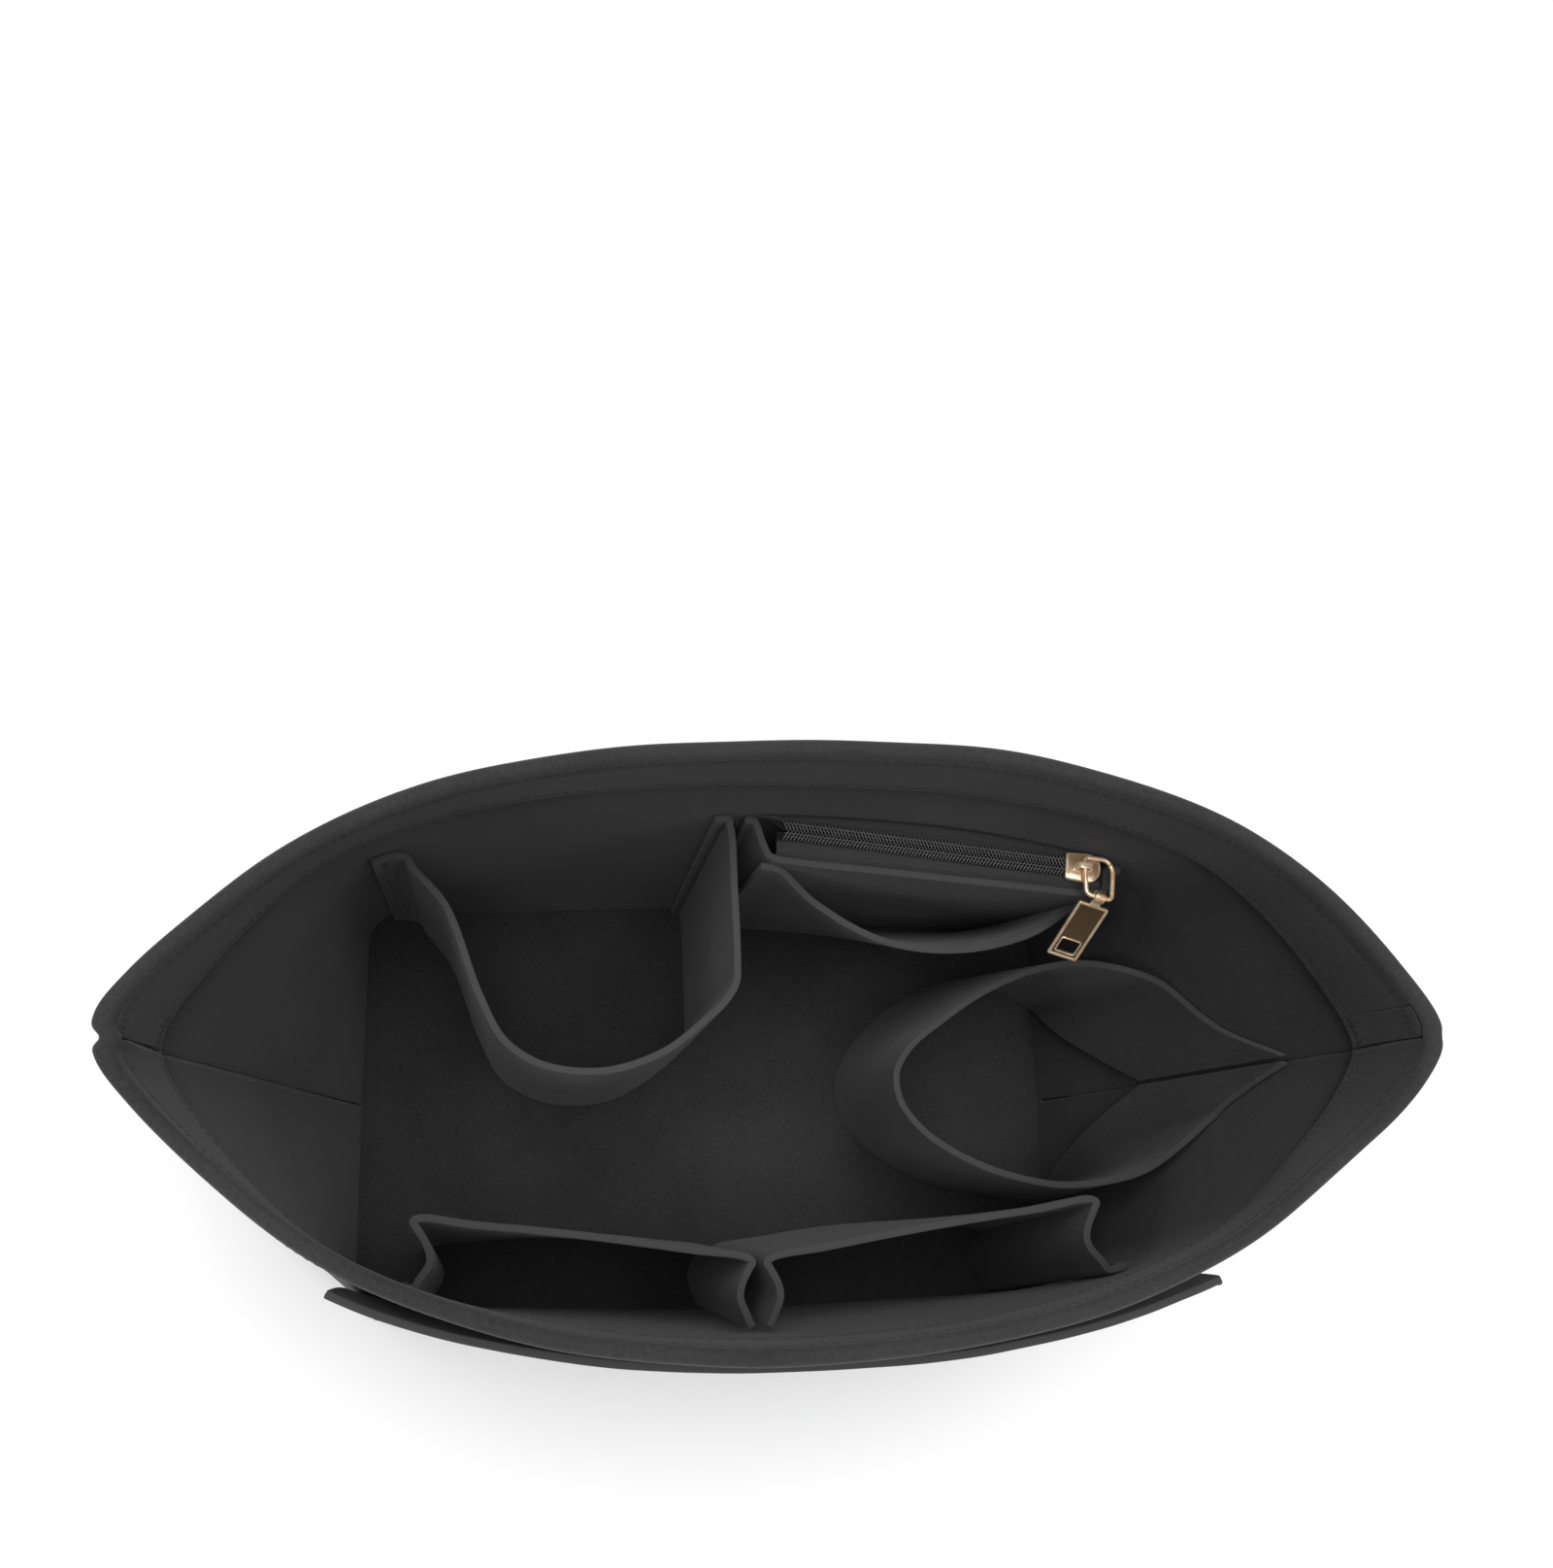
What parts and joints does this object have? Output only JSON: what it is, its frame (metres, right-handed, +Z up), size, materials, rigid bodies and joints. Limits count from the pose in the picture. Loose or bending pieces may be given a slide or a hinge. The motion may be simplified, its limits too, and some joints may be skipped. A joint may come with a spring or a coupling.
{
  "type": "purse organizer insert",
  "caption": "Boat-shaped felt tray that stands in a handbag, with a folded rim, inner pockets, a bottle loop and a zipped pocket.",
  "frame": {"origin": "centre of the insert's bounding box, at the underside of the base", "axes": "+X to the right-hand tip of the rim, +Y to the back wall with the zipped pocket, +Z up"},
  "size_m": [0.4148, 0.1926, 0.25],
  "materials": {
    "felt": "thick pressed felt, charcoal black, matt",
    "zip_tape": "woven polyester tape, black",
    "zip_coil": "nylon coil, black, slight sheen",
    "thread": "polyester sewing thread, black",
    "gold_metal": "polished light gold plating"
  },
  "bodies": {
    "root": {"back_wall_panel": "felt", "front_wall_panel": "felt", "base_panel": "felt", "left_tip_tab": "felt", "right_tip_tab": "felt", "outer_pocket": "felt", "wallet_pocket": "felt", "zip_pocket": "felt", "slip_pocket": "felt", "front_left_pocket": "felt", "front_right_pocket": "felt", "bottle_loop": "felt", "zip_coil_back": "zip_coil", "zip_coil_front": "zip_coil", "zip_tape_back": "zip_tape", "zip_tape_front": "zip_tape", "outer_pocket_left_tack": "thread", "outer_pocket_right_tack": "thread", "wallet_pocket_left_tack": "thread", "wallet_pocket_right_tack": "thread", "front_left_pocket_tack": "thread", "front_right_pocket_tack": "thread"},
    "slider": {"zip_slider": "gold_metal"},
    "ring": {"pull_ring": "gold_metal"},
    "tab": {"pull_tab": "gold_metal"}
  },
  "joints": [
    {"name": "zip_slide", "type": "slide", "parent": "root", "child": "slider", "axis": [0.9934, -0.1143, 0], "range_m": [-0.098, 0]},
    {"name": "ring_flip", "type": "hinge", "parent": "slider", "child": "ring", "pos_m": [0.1179, 0.07338, 0.17405], "axis": [0.0025, -1, 0], "range_deg": [0, 170]},
    {"name": "tab_swing", "type": "hinge", "parent": "ring", "child": "tab", "pos_m": [0.12267, 0.06196, 0.1738], "axis": [-0.9706, 0.2354, 0.0508], "range_deg": [0, 106]}
  ]
}
